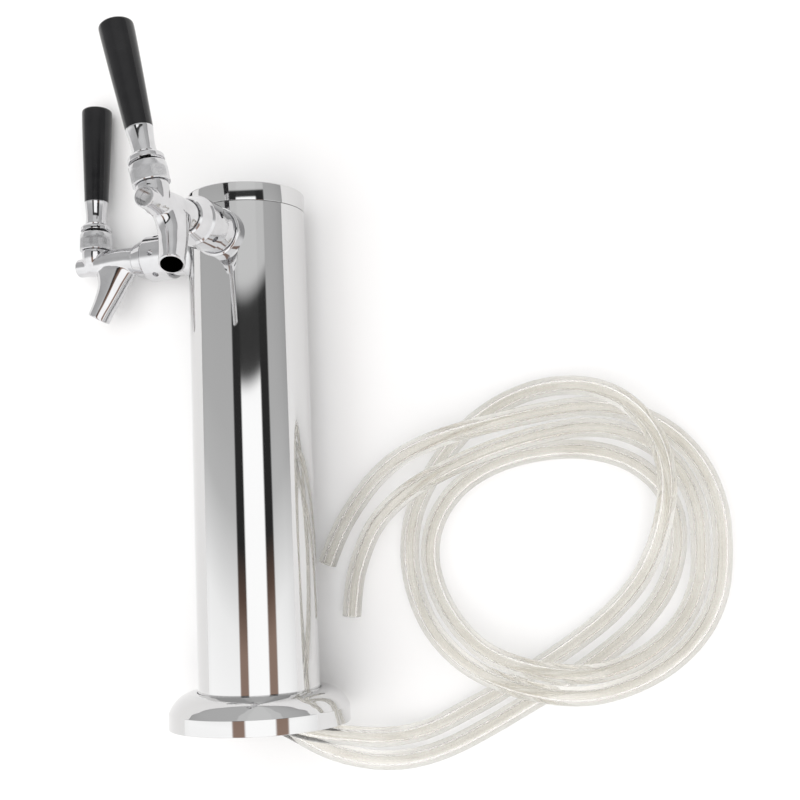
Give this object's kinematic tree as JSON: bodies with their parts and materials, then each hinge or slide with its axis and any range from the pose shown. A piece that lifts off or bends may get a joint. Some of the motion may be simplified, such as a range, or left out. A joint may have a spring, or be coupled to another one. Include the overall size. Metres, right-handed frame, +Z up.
{
  "type": "beer tap tower",
  "caption": "Polished column draft beer tower with two lever faucets set at right angles, laid on its back with its clear beer lines coiled beside it.",
  "frame": {"origin": "on the surface the tower lies on, under the middle of the tower's outline without its beer lines", "axes": "+Y runs along the laid column from its base towards its cap, tipped down by about 3 degrees; +Z is up from the surface; +X is the side where the beer lines lie; the left faucet points to -X and the front faucet points up"},
  "size_m": [0.4259, 0.4637, 0.1666],
  "materials": {
    "polished_steel": "mirror polished stainless steel",
    "chrome": "bright chrome plating",
    "dull_chrome": "satin plated metal",
    "steel_plate": "brushed plate",
    "steel_clamp": "rolled strip",
    "brass": "turned brass",
    "black_rubber": "soft rubber",
    "nylon": "turned nylon",
    "black_handle": "polished black moulding",
    "clear_vinyl": "clear flexible vinyl tube"
  },
  "bodies": {
    "tower": {"column_tube": "polished_steel", "base_plate": "steel_plate", "base_gasket": "black_rubber", "left_shank": "brass", "left_shank_collar": "chrome", "left_shank_saddle_washer": "black_rubber", "left_shank_locknut": "brass", "left_tailpiece": "chrome", "left_tail_washer": "black_rubber", "left_tail_nut": "brass", "left_hose_clamp": "steel_clamp", "left_coupling_nut": "chrome", "left_coupling_washer": "black_rubber", "left_faucet_body": "chrome", "left_ball_washer": "nylon", "left_friction_washer": "nylon", "left_bonnet": "chrome", "left_line_inside": "clear_vinyl", "left_beer_line": "clear_vinyl", "front_shank": "brass", "front_shank_collar": "chrome", "front_shank_saddle_washer": "black_rubber", "front_shank_locknut": "brass", "front_tailpiece": "chrome", "front_tail_washer": "black_rubber", "front_tail_nut": "brass", "front_hose_clamp": "steel_clamp", "front_coupling_nut": "chrome", "front_coupling_washer": "black_rubber", "front_faucet_body": "chrome", "front_ball_washer": "nylon", "front_friction_washer": "nylon", "front_bonnet": "chrome", "front_line_inside": "clear_vinyl", "front_beer_line": "clear_vinyl"},
    "top_cap": {"column_cap": "polished_steel", "cap_seal": "black_rubber"},
    "base_cover": {"flange_cover": "polished_steel"},
    "left_valve": {"left_shaft": "dull_chrome", "left_seat_washer": "black_rubber", "left_shaft_nut": "brass"},
    "left_lever_set": {"left_lever": "dull_chrome", "left_lever_collar": "chrome", "left_ferrule": "chrome", "left_handle": "black_handle", "left_handle_insert": "brass"},
    "front_valve": {"front_shaft": "dull_chrome", "front_seat_washer": "black_rubber", "front_shaft_nut": "brass"},
    "front_lever_set": {"front_lever": "dull_chrome", "front_lever_collar": "chrome", "front_ferrule": "chrome", "front_handle": "black_handle", "front_handle_insert": "brass"}
  },
  "joints": [
    {"name": "left_lever_pull", "type": "hinge", "parent": "tower", "child": "left_lever_set", "pos_m": [-0.07701, 0.10884, 0.01882], "axis": [-0.1713, 0.0886, 0.9812], "range_deg": [0, 25]},
    {"name": "left_valve_slide", "type": "slide", "parent": "tower", "child": "left_valve", "axis": [0.9852, 0.0097, 0.1711], "range_m": [0, 0.0068]},
    {"name": "front_lever_pull", "type": "hinge", "parent": "tower", "child": "front_lever_set", "pos_m": [0.01325, 0.11599, 0.15157], "axis": [0.9618, 0.2255, 0.1549], "range_deg": [0, 25]},
    {"name": "front_valve_slide", "type": "slide", "parent": "tower", "child": "front_valve", "axis": [0.1714, -0.0555, -0.9836], "range_m": [0, 0.0068]},
    {"name": "cap_lift", "type": "slide", "parent": "tower", "child": "top_cap", "axis": [0, 0.9984, -0.0564], "range_m": [0, 0.04]},
    {"name": "cover_lift", "type": "slide", "parent": "tower", "child": "base_cover", "axis": [0, 0.9984, -0.0564], "range_m": [0, 0.06]}
  ],
  "couplings": [
    {"joint": "left_valve_slide", "follows": "left_lever_pull", "m_per_rad": 0.0152},
    {"joint": "front_valve_slide", "follows": "front_lever_pull", "m_per_rad": 0.0152}
  ]
}
